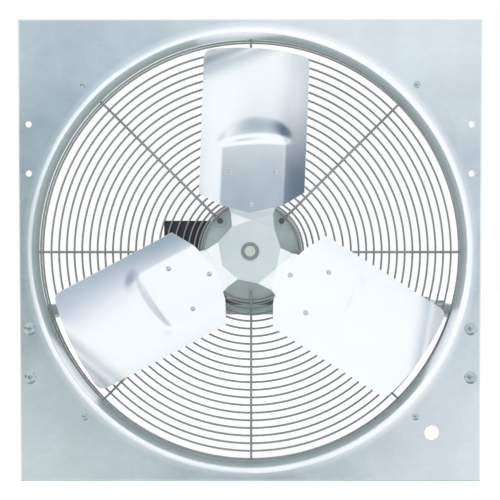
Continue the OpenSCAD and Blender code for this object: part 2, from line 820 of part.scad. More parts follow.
cover_screw_r = 1.75;
cover_screw_z = [box_low + box_t + 4.9, box_top - box_t - 4.9];
module wiring_box_cover() {
    lip = 5;
    rim = box_t + 0.2;
    color(black) difference() {
        union() {
            box_at([-box_reach - box_t, box_y0, box_low], [-box_reach - seat_gap, box_y1, box_top]);
            difference() {
                box_at([-box_reach - box_t / 2, box_y0 + rim, box_low + rim],
                    [-box_reach + lip, box_y1 - rim, box_top - rim]);
                box_at([-box_reach - 1, box_y0 + rim + 1.2, box_low + rim + 1.2],
                    [-box_reach + lip + 1, box_y1 - rim - 1.2, box_top - rim - 1.2]);
                for (z = cover_screw_z)
                    box_at([-box_reach, box_mid - 8, z - 8], [-box_reach + lip + 1, box_mid + 8, z + 8]);
            }
        }
        for (z = cover_screw_z) translate([-box_reach - 3, box_mid, z]) rotate([0, 90, 0])
            cylinder(h = 4, r = cover_screw_r + hole_gap);
    }
}

module cover_screws() {
    color(zinc) for (z = cover_screw_z) translate([-box_reach - box_t, box_mid, z]) rotate([0, 0, -90]) {
        domed_head(-seat_gap, 3.6, 1.9);
        round_y(-0.5, 10, cover_screw_r);
    }
}

// Screws from inside the box into the motor shell; their ends stop in the shell's wall
module box_screws() {
    head_r = 3.4;
    head_h = 3;
    under_head = -box_t - 1.5;
    shank_end = shell_t - 0.3;
    color(zinc) at_each(box_screw_points) rotate([0, 90, 0]) {
        translate([0, 0, under_head - head_h]) cylinder(h = head_h, r = head_r);
        translate([0, 0, under_head - 1]) cylinder(h = shank_end - under_head + 1, r = box_screw_r);
    }
}

can_x = -box_reach + capacitor_d / 2 + 8;
can_z = box_top - box_t - capacitor_d / 2 - 2.2;
can_y0 = box_y1 - box_t - capacitor_l - 5;
module run_capacitor() {
    color([0.62, 0.64, 0.66]) translate([can_x, 0, can_z]) {
        round_y(can_y0, can_y0 + capacitor_l, capacitor_d / 2);
        for (s = [-1, 1]) box_at([s * 7 - 0.4, can_y0 - 7, -3], [s * 7 + 0.4, can_y0 + 1, 3]);
    }
}

module capacitor_strap() {
    strap_w = 14;
    y0 = can_y0 + capacitor_l / 2 - strap_w / 2;
    color(zinc) {
        translate([can_x, 0, can_z])
            round_y(y0, y0 + strap_w, capacitor_d / 2 + seat_gap + 1, capacitor_d / 2 + seat_gap);
        box_at([can_x - 8, y0, can_z + capacitor_d / 2 + 0.6],
            [can_x + 8, y0 + strap_w, box_top - box_t - seat_gap]);
    }
}

module terminal_block() {
    terminal_n = 3;
    pitch = 11;
    half = 17;
    color([0.8, 0.78, 0.7]) difference() {
        box_at([block_x - half, lead_y - pitch / 2, block_top - block_h],
            [block_x + half, lead_y + (terminal_n - 0.5) * pitch, block_top]);
        for (k = [1 : terminal_n - 1]) for (s = [-1, 1])
            translate([block_x + s * half / 2, lead_y + k * pitch, block_top - 6]) cylinder(h = 7, r = 2.6);
    }
}

module lead_grommet() {
    color(black) translate([-shell_r - box_t - 1.2, lead_y, lead_z]) rotate([0, 90, 0]) difference() {
        union() {
            cylinder(h = box_t + shell_t + 2.6, r = grommet_r - seat_gap);
            translate([0, 0, -1.2]) cylinder(h = 1.4, r = grommet_r + 2);
        }
        translate([0, 0, -2]) cylinder(h = 20, r = lead_r + seat_gap);
    }
}

// Bundle of leads from the end turns, through the grommet and down to the terminals
module motor_leads() {
    start_x = -sqrt(pow(bar_r2 + 0.3, 2) - pow(lead_z - lead_r, 2));
    bend_l = 5;
    askew = 0.1;
    color([0.75, 0.15, 0.12]) wire([
        [start_x, lead_y + askew, lead_z],
        [block_x + bend_l, lead_y, lead_z],
        [block_x, lead_y, lead_z - 2 * bend_l],
        [block_x, lead_y, block_top + seat_gap]
    ], lead_r);
}

module ground_screw() {
    color([0.2, 0.5, 0.25]) translate([ground_at[0], box_y1 - box_t, ground_at[1]]) {
        hex_y(-3, -seat_gap, 7);
        round_y(-1, box_t + 1.5, ground_r);
    }
}

// ======== Rotor ========

module shaft() {
    seat_y0 = front_bearing_y + bearing_l + washer_t + 2 * washer_gap;
    seat_y1 = rear_bearing_y - washer_t - 2 * washer_gap;
    color([0.8, 0.82, 0.83]) {
        round_y(shaft_front, shaft_rear, shaft_r);
        round_y(seat_y0, seat_y1, rotor_seat_d / 2);
    }
}

module rotor_core() {
    color(dark_steel) round_y(core_y0, core_y1, rotor_r, rotor_seat_d / 2 + seat_gap / 2);
}

module rotor_end_rings() {
    ring_in = rotor_seat_d / 2 + 9;
    ring_out = rotor_r - 4;
    fan_l = 8;
    fan_y = [core_y0 - cage_ring_l - fan_l, core_y1 + cage_ring_l - 1];
    color(aluminium) {
        for (y0 = [core_y0 - cage_ring_l, core_y1]) round_y(y0, y0 + cage_ring_l - eps, ring_out, ring_in);
        for (k = [0 : 11]) for (y0 = fan_y) rotate([0, k * 30, 0])
            box_at([ring_in + 3, y0, -1.5], [ring_out - 1, y0 + fan_l + 1, 1.5]);
    }
}

module thrust_washers() {
    front = front_bearing_y + bearing_l + washer_gap;
    rear = rear_bearing_y - washer_gap - washer_t;
    color([0.85, 0.83, 0.75]) for (y0 = [front, rear])
        round_y(y0, y0 + washer_t, bearing_r - 1, shaft_r + seat_gap);
}

hub_back = spider_back + hub_l;
set_screw_y = spider_back + hub_l * 0.6;
set_screw_d = 7.9;
module hub() {
    color([0.78, 0.8, 0.8]) difference() {
        union() {
            round_y(hub_front, spider_back + 1, hub_nose_d / 2);
            round_y(spider_back + eps, hub_back, hub_d / 2);
        }
        round_y(hub_front - 1, hub_back + 1, shaft_r + seat_gap / 2);
        for (a = [0, 90]) rotate([0, a, 0]) translate([0, set_screw_y, 0])
            cylinder(h = hub_d, r = set_screw_d / 2 + seat_gap);
    }
}

module hub_set_screws() {
    color(dark_steel) for (a = [0, 90]) rotate([0, a, 0]) translate([0, set_screw_y, 0]) {
        translate([0, 0, shaft_r + seat_gap]) cylinder(h = hub_d / 2 - shaft_r + 1, r = set_screw_d / 2);
        translate([-4, -4, hub_d / 2 + 0.9]) cube([8, 8, 6]);
    }
}

function arm_turn(k) = rest_turn + k * 360 / blade_n;

function spun(p, a) = [p[0] * cos(a) + p[1] * sin(a), -p[0] * sin(a) + p[1] * cos(a)];
centre_outline = [for (k = [0 : blade_n - 1]) for (p = [centre_left, [0, apex_r], centre_right])
    spun(p, k * 360 / blade_n)];

// Triangle with its thickness along Y, from three points of its front face
module thick_triangle(a, b, c, t) {
    back = [0, t, 0];
    polyhedron(
        points = [a, b, c, a + back, b + back, c + back],
        faces = [[0, 1, 2], [5, 4, 3], [0, 3, 4, 1], [1, 4, 5, 2], [2, 5, 3, 0]]
    );
}

// Turns a piece drawn in the blade's plane to its pitch, about the arm's centre line
module pitched() {
    translate([0, prop_y, 0]) rotate([0, 0, -blade_pitch]) children();
}

// Point of a pitched arm's front face, from its places across and along the arm
function in_arm(u, v) =
    [u * cos(blade_pitch), prop_y - u * sin(blade_pitch) - spider_t / 2 / cos(blade_pitch), v];
module arm_neck() {
    front = spider_front;
    left = in_arm(-neck_half, neck_r);
    right = in_arm(neck_half, neck_r);
    apex = [0, front, apex_r];
    thick_triangle([centre_left[0], front, centre_left[1]], left, apex, spider_t);
    thick_triangle([centre_right[0], front, centre_right[1]], apex, right, spider_t);
}

module arm_plate() {
    pitched() plate_xz(spider_t / 2, spider_t) polygon([
        [0, apex_r - 1], [neck_half, neck_r], [arm_half, rivet_r_out - arm_shoulder],
        [arm_half, arm_end_r - arm_chamfer], [arm_half - arm_chamfer, arm_end_r],
        [arm_chamfer - arm_half, arm_end_r], [-arm_half, arm_end_r - arm_chamfer],
        [-arm_half, rivet_r_out - arm_shoulder], [-neck_half, neck_r]
    ]);
}

rivet_points = [[0, 0, rivet_r_in], for (s = [1, -1]) [s * rivet_spacing / 2, 0, rivet_r_out]];
module spider() {
    color([0.8, 0.84, 0.83]) rotate([0, rest_turn, 0]) difference() {
        union() {
            plate_xz(spider_back, spider_t) polygon(centre_outline);
            for (k = [0 : blade_n - 1]) rotate([0, k * 360 / blade_n, 0]) {
                arm_neck();
                arm_plate();
            }
        }
        round_y(spider_front - 1, spider_back + 1, hub_nose_d / 2 + seat_gap / 2);
        for (k = [0 : blade_n - 1]) rotate([0, k * 360 / blade_n, 0]) pitched()
            at_each(rivet_points) round_y(-spider_t, spider_t, rivet_r + seat_gap);
    }
}

// How much farther out the blade's root edge is at the sides of the pad and of the blade
blade_pad_rise = 11;
blade_side_rise = 29;
// Place along the blade of the centre of a tip corner, from its place across
function corner_v(u) = sqrt(pow(tip_arc_r - blade_corner_r, 2) - pow(u * cos(blade_pitch) + tip_aside, 2));

// Blade in its own plane: u across, v along the radius, front of the arm at w = 0
module blade_outline() {
    half = blade_chord / 2;
    corner_u = half - blade_corner_r;
    side_v = blade_root_r + blade_side_rise;
    pad_v = blade_root_r + blade_pad_rise;
    past_tip = tip_arc_r + 1;
    difference() {
        polygon([
            [0, blade_root_r], [pad_w / 2, pad_v], [half, side_v], [half, past_tip],
            [-half, past_tip], [-half, side_v], [-pad_w / 2, pad_v]
        ]);
        for (u = [-corner_u, corner_u]) translate([u, corner_v(u)]) mirror([u < 0 ? 1 : 0, 0]) difference() {
            square([blade_corner_r + 1, tip_arc_r]);
            circle(r = blade_corner_r);
        }
    }
}

function slope_w(v) = -blade_t + pad_sag * (v - pad_end_r) / pad_slope_l;
pad_v2 = pad_end_r + pad_slope_l + 6;
camber_w = -blade_t + pad_sag - camber_r;

module camber_cylinder(r) {
    translate([0, camber_w, 0]) cylinder(h = 2 * prop_r, r = r, $fn = 360);
}

module pad_space() {
    rotate([90, 0, 90]) translate([0, 0, -pad_w / 2]) linear_extrude(pad_w) polygon([
        [-blade_t, 0], [-blade_t, pad_end_r], [slope_w(pad_v2), pad_v2], [40, pad_v2], [40, 0]
    ]);
}

module pad_skin() {
    over = 0.4;
    rotate([90, 0, 90]) translate([0, 0, -pad_w / 2 - over]) linear_extrude(pad_w + 2 * over) polygon([
        [-blade_t, 0], [-blade_t, pad_end_r], [slope_w(pad_v2), pad_v2],
        [slope_w(pad_v2) + blade_t, pad_v2], [0, pad_end_r], [0, 0]
    ]);
}

module blade_sheet() {
    intersection() {
        union() {
            difference() {
                camber_cylinder(camber_r + blade_t);
                camber_cylinder(camber_r);
                pad_space();
                translate([0, camber_w - camber_r, 0])
                    cube([4 * camber_r, 2 * camber_r, 8 * prop_r], center = true);
            }
            intersection() {
                pad_skin();
                camber_cylinder(camber_r + blade_t);
            }
        }
        plate_xz(60, 120) blade_outline();
    }
}

module blade(k) {
    color(aluminium) rotate([0, arm_turn(k), 0]) intersection() {
        pitched() difference() {
            translate([0, -spider_t / 2 - seat_gap, 0]) blade_sheet();
            at_each(rivet_points) round_y(-spider_t - 5, spider_t + 10, rivet_r + seat_gap);
        }
        translate([-tip_aside, 0, 0]) round_y(-blade_chord, blade_chord, tip_arc_r);
    }
}

module top_blade() {
    blade(0);
}

module right_blade() {
    blade(1);
}

module left_blade() {
    blade(2);
}

module blade_rivets() {
    front = -spider_t / 2 - blade_t - 2 * seat_gap;
    back = spider_t / 2 + seat_gap;
    color([0.9, 0.91, 0.92]) for (k = [0 : blade_n - 1]) rotate([0, arm_turn(k), 0]) pitched()
        at_each(rivet_points) {
            domed_head(front, rivet_head_r, rivet_head_h);
            round_y(front - eps, back + eps, rivet_r);
            mirror([0, 1, 0]) domed_head(-back, rivet_head_r, rivet_head_h);
        }
}

venturi_panel();
guard_face_rings();
guard_dish_rings();
guard_side_rings();
guard_spokes();
guard_screws();
guard_washers();
guard_nuts();
motor_shelf();
left_bracket();
right_bracket();
bracket_bolts();
bracket_nuts();
shelf_bolts();
shelf_nuts();
motor_base();
base_bolts();
base_nuts();
motor_shell();
front_end_bell();
rear_end_bell();
through_bolts();
through_bolt_nuts();
stator_core();
stator_windings();
overload_protector();
front_bearing();
rear_bearing();
felt_seals();
wiring_box();
wiring_box_cover();
cover_screws();
box_screws();
run_capacitor();
capacitor_strap();
terminal_block();
lead_grommet();
motor_leads();
ground_screw();
shaft();
rotor_core();
rotor_end_rings();
thrust_washers();
hub();
hub_set_screws();
spider();
top_blade();
left_blade();
right_blade();
blade_rivets();
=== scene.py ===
"""Looks of a square panel fan: drawn galvanised venturi, three formed aluminium blades,
motor on its shelf and a round wire guard. All lengths are in metres, in the frame of the
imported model: the fan axis lies along Y, the viewer stands on the -Y side, Z is up."""

import json
import math

import bpy
import numpy as np
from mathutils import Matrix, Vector


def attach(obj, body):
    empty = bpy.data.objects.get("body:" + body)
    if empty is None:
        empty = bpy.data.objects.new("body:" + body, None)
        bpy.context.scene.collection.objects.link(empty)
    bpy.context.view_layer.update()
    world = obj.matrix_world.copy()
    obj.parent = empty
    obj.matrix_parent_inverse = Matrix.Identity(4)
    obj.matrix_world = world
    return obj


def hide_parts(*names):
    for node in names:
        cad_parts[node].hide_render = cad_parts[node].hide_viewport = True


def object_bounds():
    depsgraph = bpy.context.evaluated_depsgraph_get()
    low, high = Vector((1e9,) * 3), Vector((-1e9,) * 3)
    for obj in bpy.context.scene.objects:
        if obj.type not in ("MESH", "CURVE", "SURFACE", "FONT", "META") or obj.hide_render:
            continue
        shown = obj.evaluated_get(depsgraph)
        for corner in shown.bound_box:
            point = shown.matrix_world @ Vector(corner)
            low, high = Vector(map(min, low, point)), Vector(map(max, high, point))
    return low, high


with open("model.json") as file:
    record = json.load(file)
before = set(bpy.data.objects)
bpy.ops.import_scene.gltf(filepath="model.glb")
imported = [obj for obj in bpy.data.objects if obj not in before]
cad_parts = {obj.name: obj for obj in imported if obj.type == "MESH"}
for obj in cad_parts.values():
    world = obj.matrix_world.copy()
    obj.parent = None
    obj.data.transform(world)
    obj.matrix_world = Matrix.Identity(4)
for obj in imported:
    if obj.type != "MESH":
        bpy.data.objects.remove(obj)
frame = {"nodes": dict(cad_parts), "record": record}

# Blender's start-up objects go; the CAD's box is taken before any piece is added
for leftover in ("Cube", "Light", "Camera"):
    if leftover in bpy.data.objects:
        bpy.data.objects.remove(bpy.data.objects[leftover])
CAD_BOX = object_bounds()
CAD_NODES = frame["nodes"]
SCENE = bpy.context.scene
MM = 0.001

# ---- Propeller, as it is built in the part's source ----
PITCH = math.radians(25)
PROP_Y = -4 * MM        # the spider's middle on the fan axis
REST_TURN = math.radians(2.2)
SPIDER_T = 4 * MM

# Blade: its sheet, the tips' arc, whose centre lies beside the fan axis, and rounded corners
CHORD = 174.3 * MM
BLADE_T = 1.6 * MM
CAMBER = 9 * MM
TIP_R = 303.55 * MM
TIP_ASIDE = 53.5 * MM
CORNER_R = 14 * MM

# Blade's root: its radius at mid-chord, and how much further out it lies to the sides
ROOT_R = 57.5 * MM
ROOT_OUT_AT_PAD = 11 * MM
ROOT_OUT_AT_EDGE = 29 * MM

# Riveting pad: a flat seat on the spider, an arched end that slopes to the hollow sheet,
# and a shallow dip at the foot of that slope
PAD_HALF = 51 * MM
PAD_END = 161 * MM
PAD_EASE = 0.35 * MM
PAD_ARCH = 4 * MM
PAD_SLOPE = 15 * MM
SLOPE_LEFT = 0.3        # share of the slope's length that is left where the arch ends
PAD_DIP = 1 * MM
DIP_REACH = 27 * MM
DIP_LEAST = 1 * MM
DIP_FADE = 0.85         # half pads from the middle to where the dip starts to fade
ARCH_END = 1.3          # half pads from the middle to where arch and dip end
SEAT_GAP = 0.05 * MM
PAD_FACE = -SPIDER_T / 2 - SEAT_GAP - BLADE_T

# Points across and along each face of a blade's mesh
COLUMNS = 96
ROWS = 128

# ---- Venturi: where its sheet is painted with a highlight ring, and with highlight and shade on the collar's inner face ----
MOUTH_R = 337 * MM
# width of the painted highlight ring just outside MOUTH_R
HIGHLIGHT_RING = 9 * MM
COLLAR_R = 311.15 * MM
# the collar's inner face out to WALL_R is painted: white as a highlight at COLLAR_LIP, darkening
# to painted shade over COLLAR_SHADE
WALL_R = COLLAR_R + 0.2 * MM
WALL_FADE = 0.6 * MM
COLLAR_LIP = -50.8 * MM
COLLAR_SHADE = 22 * MM

# ---- Blender's own places and limits ----
SHARP_DEG = 40
MIX_FIRST = 6           # a Mix node's colour sockets: their names are shared
MIX_SECOND = 7
MIX_RESULT = 2


# ======== Small tools ========

def smooth(x, low, high):
    """0 below low, 1 above high, an S-curve between."""
    t = np.clip((x - low) / (high - low), 0, 1)
    return t * t * (3 - 2 * t)


def soft_min(a, b, reach):
    """The smaller of a and b, rounded off over the given reach."""
    h = np.clip(0.5 + 0.5 * (b - a) / reach, 0, 1)
    return b + (a - b) * h - reach * h * (1 - h)


def mesh_object(name, points, faces):
    """A mesh object with smooth faces, and sharp edges where it turns by SHARP_DEG."""
    mesh = bpy.data.meshes.new(name)
    mesh.from_pydata([tuple(p) for p in points], [], faces)
    mesh.validate()
    mesh.shade_smooth()
    mesh.set_sharp_from_angle(angle=math.radians(SHARP_DEG))
    obj = bpy.data.objects.new(name, mesh)
    SCENE.collection.objects.link(obj)
    return obj


def dress(obj, material):
    """Gives an object one material in every slot."""
    if not obj.material_slots:
        obj.data.materials.append(material)
    for slot in obj.material_slots:
        slot.material = material


def shade(colour, factor):
    """A colour made darker or lighter, up to white."""
    return tuple(min(1.0, c * factor) for c in colour)


class ShaderTree:
    """The node tree of a material or world, filled by short calls."""

    def __init__(self, owner, empty=False):
        owner.use_nodes = True
        self.tree = owner.node_tree
        if empty:
            self.tree.nodes.clear()

    def put(self, node, inputs):
        """Links a node's inputs to sockets, or sets them to plain values."""
        for key, value in inputs.items():
            if isinstance(value, bpy.types.NodeSocket):
                self.tree.links.new(value, node.inputs[key])
            else:
                node.inputs[key].default_value = value

    def add(self, kind, inputs=None, **settings):
        """A new node with these settings and inputs."""
        node = self.tree.nodes.new(kind)
        for key, value in settings.items():
            setattr(node, key, value)
        self.put(node, inputs or {})
        return node

    def blend(self, value, first, second):
        """A colour between two colours or sockets, by a value from 0 to 1."""
        node = self.add("ShaderNodeMix", {"Factor": value}, data_type="RGBA")
        for place, colour in ((MIX_FIRST, first), (MIX_SECOND, second)):
            linked = isinstance(colour, bpy.types.NodeSocket)
            self.put(node, {place: colour if linked else (*colour, 1)})
        return node.outputs[MIX_RESULT]


class Paint(ShaderTree):
    """A node material round one Principled shader. The methods make patterns and measures
    first, and then tint, roughen and bump the shader by them."""

    def __init__(self, name, metallic, **constants):
        self.material = bpy.data.materials.new(name)
        super().__init__(self.material)
        self.shader = self.tree.nodes["Principled BSDF"]
        self.put(self.shader, {"Metallic": metallic, **constants})
        self.place = self.add("ShaderNodeTexCoord").outputs["Object"]

    def stretched(self, scale, vector=None):
        """The coordinates scaled along each axis."""
        inputs = {"Vector": vector or self.place, "Scale": scale}
        return self.add("ShaderNodeMapping", inputs).outputs["Vector"]

    def noise(self, scale, detail, vector=None, rough=0.5):
        """Soft noise, its largest forms 1 / scale metres wide."""
        inputs = {"Vector": vector or self.place, "Scale": scale,
                  "Detail": detail, "Roughness": rough}
        return self.add("ShaderNodeTexNoise", inputs).outputs["Fac"]

    def cells(self, scale, vector):
        """A plain grey for each cell of a Voronoi pattern."""
        node = self.add("ShaderNodeTexVoronoi", {"Vector": vector, "Scale": scale})
        parts = self.add("ShaderNodeSeparateColor", {"Color": node.outputs["Color"]})
        return parts.outputs["Red"]

    def waves(self, scale, inputs=None, **settings):
        """Bands or rings, as the settings say, about 0.3 / scale metres apart."""
        inputs = {"Vector": self.place, "Scale": scale, **(inputs or {})}
        return self.add("ShaderNodeTexWave", inputs, **settings).outputs["Fac"]

    def axis_distance(self):
        """Metres from the fan axis."""
        flat = self.stretched((1, 0, 1))
        return self.add("ShaderNodeVectorMath", {0: flat}, operation="LENGTH").outputs["Value"]

    def axis_place(self):
        """Metres along the fan axis."""
        return self.add("ShaderNodeSeparateXYZ", {"Vector": self.place}).outputs["Y"]

    def span(self, value, low, high, start=0.0, end=1.0):
        """A value remapped from start..end to low..high."""
        inputs = {"Value": value, "From Min": start, "From Max": end,
                  "To Min": low, "To Max": high}
        return self.add("ShaderNodeMapRange", inputs).outputs["Result"]

    def sum(self, a, b):
        """Two values added."""
        return self.add("ShaderNodeMath", {0: a, 1: b}, operation="ADD").outputs[0]

    def tint(self, value, first, second):
        """Colours the shader between two colours, and returns the colour."""
        colour = self.blend(value, first, second)
        self.put(self.shader, {"Base Color": colour})
        return colour

    def mottle(self, value, colour, darkest, lightest):
        """Colours the shader between two shades of a colour, and returns the colour."""
        return self.tint(value, shade(colour, darkest), shade(colour, lightest))

    def rough(self, value, low, high):
        """Makes the roughness follow a value from 0 to 1."""
        self.put(self.shader, {"Roughness": self.span(value, low, high)})

    def bump(self, height, depth):
        """Raises the surface by height times depth in metres."""
        node = self.add("ShaderNodeBump", {"Height": height, "Distance": depth})
        self.put(self.shader, {"Normal": node.outputs["Normal"]})


# ======== Materials ========

def galvanised(paint, colour, spangle, roughness, contrast=0.05):
    """Zinc-coated sheet: faint flat crystals, fine rolling grain and a few dull clouds.
    Returns the sheet's colour."""
    crystals = paint.cells(1 / spangle, paint.stretched((1, 1, 1.25)))
    clouds = paint.noise(9, 4)
    uneven = paint.sum(paint.span(crystals, -contrast, contrast),
                       paint.span(clouds, 0, 1, start=0.25, end=0.75))
    sheet = paint.mottle(uneven, colour, 0.88, 1.06)
    dull = paint.sum(paint.span(crystals, -0.1, 0.1), clouds)
    paint.rough(dull, roughness - 0.05, roughness + 0.06)
    paint.bump(paint.noise(700, 2, paint.stretched((0.06, 1, 1))), 0.03 * MM)
    return sheet


def plain_galvanised(name, **looks):
    """Galvanised sheet or plate that is only cut and bent."""
    paint = Paint(name, 1.0)
    galvanised(paint, **looks)
    return paint.material


def galvanised_with_painted_light(name, mouth_highlight, wall_shade, **looks):
    """The venturi's sheet, with a painted highlight ring just outside the bell's opening. The
    collar's inner face is painted white at the lip as a highlight and darkens to painted shade
    further in."""
    paint = Paint(name, 1.0)
    sheet = galvanised(paint, **looks)
    off_axis = paint.axis_distance()
    # painted highlight: a bright ring just outside the bell's opening
    mouth_highlight_share = paint.span(off_axis, 1, 0, MOUTH_R, MOUTH_R + HIGHLIGHT_RING)
    # painted highlight and painted shade: the collar's inner face is white at the lip and darkens
    # further in
    wall_paint_share = paint.span(off_axis, 1, 0, WALL_R, WALL_R + WALL_FADE)
    wall_shade_share = paint.span(paint.axis_place(), 0, 1, COLLAR_LIP, COLLAR_LIP + COLLAR_SHADE)
    wall_highlight_and_shade = paint.blend(wall_shade_share, (1.0, 1.0, 1.0), wall_shade)
    paint.tint(wall_paint_share, paint.blend(mouth_highlight_share, sheet, mouth_highlight), wall_highlight_and_shade)
    return paint.material


def rolled_aluminium(name, darkest, lightest):
    """Bright rolled sheet: long fine rolling lines across the blade and light scuffs."""
    paint = Paint(name, 1.0)
    uv = paint.add("ShaderNodeTexCoord").outputs["UV"]
    lines = paint.noise(900, 3, paint.stretched((0.02, 1, 1), uv))
    scuffs = paint.noise(60, 6, paint.stretched((1, 0.35, 1), uv), rough=0.7)
    clouds = paint.noise(14, 3, uv)
    paint.tint(clouds, darkest, lightest)
    paint.rough(paint.sum(paint.span(scuffs, -0.3, 0.3), clouds), 0.13, 0.24)
    paint.bump(paint.sum(paint.span(lines, 0, 0.4), paint.span(scuffs, 0, 0.5)), 0.035 * MM)
    return paint.material


def plated(name, colour, roughness, grain=400):
    """Plating, or another thin even skin, on small metal parts and wire."""
    paint = Paint(name, 1.0)
    fine = paint.noise(grain, 3)
    paint.mottle(paint.noise(60, 4), colour, 0.82, 1.12)
    paint.rough(fine, roughness - 0.08, roughness + 0.12)
    paint.bump(fine, 0.04 * MM)
    return paint.material


def painted(name, colour, roughness, peel=350, depth=0.06 * MM, dust=0.12):
    """Sprayed enamel with orange peel and a little dust."""
    paint = Paint(name, 0.0, **{"Coat Weight": 0.15, "Coat Roughness": 0.35})
    paint.mottle(paint.noise(12, 5), colour, 1 - dust, 1 + dust)
    paint.rough(paint.noise(35, 4), roughness - 0.08, roughness + 0.12)
    paint.bump(paint.noise(peel, 2), depth)
    return paint.material


def moulded(name, colour, roughness=0.5):
    """Plastic or rubber with a fine sparked grain."""
    paint = Paint(name, 0.0)
    grain = paint.noise(900, 2)
    paint.mottle(paint.noise(25, 3), colour, 0.85, 1.15)
    paint.rough(grain, roughness - 0.07, roughness + 0.1)
    paint.bump(grain, 0.05 * MM)
    return paint.material


def turned_metal(name, colour, roughness, coarseness=0.3 * MM):
    """Metal with lathe lines round the fan axis, about 1.6 times coarseness apart."""
    paint = Paint(name, 1.0)
    lines = paint.waves(0.2 / coarseness, {"Distortion": 1.5, "Detail": 2.0},
                        bands_direction="Y")
    paint.mottle(paint.noise(40, 3), colour, 0.88, 1.08)
    paint.rough(lines, roughness - 0.05, roughness + 0.1)
    paint.bump(lines, 0.03 * MM)
    return paint.material


def cast(name, colour, roughness):
    """Cast or sintered metal with a pebbled skin."""
    paint = Paint(name, 1.0)
    pebbles = paint.noise(260, 4)
    paint.mottle(paint.noise(18, 4), colour, 0.82, 1.12)
    paint.rough(pebbles, roughness - 0.1, roughness + 0.12)
    paint.bump(pebbles, 0.18 * MM)
    return paint.material


def laminated(name, colour):
    """Stacked punchings: thin dark seams across the stack."""
    paint = Paint(name, 0.9)
    seams = paint.waves(320, bands_direction="Y", wave_profile="SAW")
    paint.mottle(seams, colour, 0.5, 1.3)
    paint.rough(paint.noise(90, 4), 0.4, 0.6)
    paint.bump(seams, 0.1 * MM)
    return paint.material


def wound(name, colour):
    """Enamelled turns lying side by side round the axis, with varnish."""
    paint = Paint(name, 0.75, **{"Coat Weight": 0.6, "Coat Roughness": 0.2})
    uneven = {"Distortion": 6.0, "Detail": 3.0, "Detail Scale": 0.4}
    turns = paint.waves(260, uneven, wave_type="RINGS", rings_direction="Y")
    paint.mottle(turns, colour, 0.4, 1.15)
    paint.rough(turns, 0.3, 0.5)
    paint.bump(turns, 0.3 * MM)
    return paint.material


def felted(name, colour):
    """Pressed wool."""
    paint = Paint(name, 0.0, **{"Sheen Weight": 0.4, "Sheen Roughness": 0.6})
    fibres = paint.noise(1500, 6, rough=0.75)
    paint.mottle(fibres, colour, 0.65, 1.15)
    paint.rough(fibres, 0.85, 1.0)
    paint.bump(fibres, 0.4 * MM)
    return paint.material


FINISHES = {
    # the venturi sheet carries a painted highlight ring and a painted highlight and shade on the
    # collar's inner face
    "galvanised": galvanised_with_painted_light(
        "galvanised_sheet_painted_light", mouth_highlight=(0.95, 0.97, 0.99), wall_shade=(0.6, 0.67, 0.7),
        colour=(0.77, 0.82, 0.85), spangle=9 * MM, roughness=0.3, contrast=0.1),
    "bracket_steel": plain_galvanised(
        "bracket_steel_plate", colour=(0.66, 0.71, 0.72), spangle=8 * MM, roughness=0.45),
    "spider_plate": plain_galvanised(
        "spider_zinc_plate", colour=(0.94, 0.97, 0.96), spangle=7 * MM, roughness=0.3),
    "blade_aluminium": rolled_aluminium(
        "blade_aluminium_sheet", (0.86, 0.885, 0.91), (0.93, 0.945, 0.96)),
    "rivet_aluminium": plated(
        "rivet_aluminium_head", (0.66, 0.68, 0.7), roughness=0.22, grain=700),
    "guard_wire": plated("guard_wire_zinc", (0.42, 0.435, 0.43), roughness=0.4, grain=500),
    "zinc_fasteners": plated("zinc_fastener", (0.46, 0.53, 0.54), roughness=0.2),
    "dark_steel": plated("blackened_steel", (0.16, 0.17, 0.18), roughness=0.42),
    "green_screw": plated("green_chromate", (0.1, 0.34, 0.14), roughness=0.35),
    "motor_paint": painted("motor_enamel", (0.36, 0.42, 0.4), roughness=0.4, dust=0.25),
    "bell_casting": painted(
        "bell_enamel", (0.54, 0.62, 0.61), roughness=0.38, peel=220, depth=0.14 * MM, dust=0.3),
    "black_paint": painted("box_enamel", (0.035, 0.035, 0.042), roughness=0.42),
    "shaft_steel": turned_metal("ground_shaft", (0.8, 0.82, 0.74), roughness=0.3),
    "hub_steel": turned_metal(
        "turned_hub", (0.34, 0.39, 0.37), roughness=0.33, coarseness=0.5 * MM),
    "capacitor_can": turned_metal(
        "capacitor_aluminium", (0.72, 0.74, 0.76), roughness=0.35, coarseness=0.6 * MM),
    "laminations": laminated("core_laminations", (0.3, 0.31, 0.33)),
    "copper": wound("enamelled_copper", (0.72, 0.3, 0.12)),
    "cast_aluminium": cast("cage_aluminium", (0.78, 0.79, 0.8), roughness=0.42),
    "bronze": cast("sintered_bronze", (0.55, 0.38, 0.2), roughness=0.4),
    "felt": felted("oiled_felt", (0.62, 0.57, 0.46)),
    "black_plastic": moulded("protector_phenolic", (0.03, 0.03, 0.033)),
    "terminal_plastic": moulded("terminal_nylon", (0.68, 0.66, 0.56)),
    "washer_plastic": moulded("washer_nylon", (0.74, 0.71, 0.62)),
    "grommet_rubber": moulded("grommet_rubber", (0.025, 0.025, 0.025), roughness=0.7),
    "lead_insulation": moulded("lead_sleeve", (0.5, 0.05, 0.04), roughness=0.45),
}


def dress_cad_nodes():
    """Gives every CAD node the finish of its material slot."""
    for part in frame["record"]["subparts"]:
        dress(CAD_NODES[part["node"]], FINISHES[part["material_slot"]])


# ======== Blades ========
# u runs across a blade, v along it from the fan axis, and w through it, away from the viewer.

def tip_arc(radius, u):
    """Place along the blade of an arc about the tips' centre, which lies beside the fan axis."""
    return np.sqrt(radius ** 2 - (u * math.cos(PITCH) + TIP_ASIDE) ** 2)


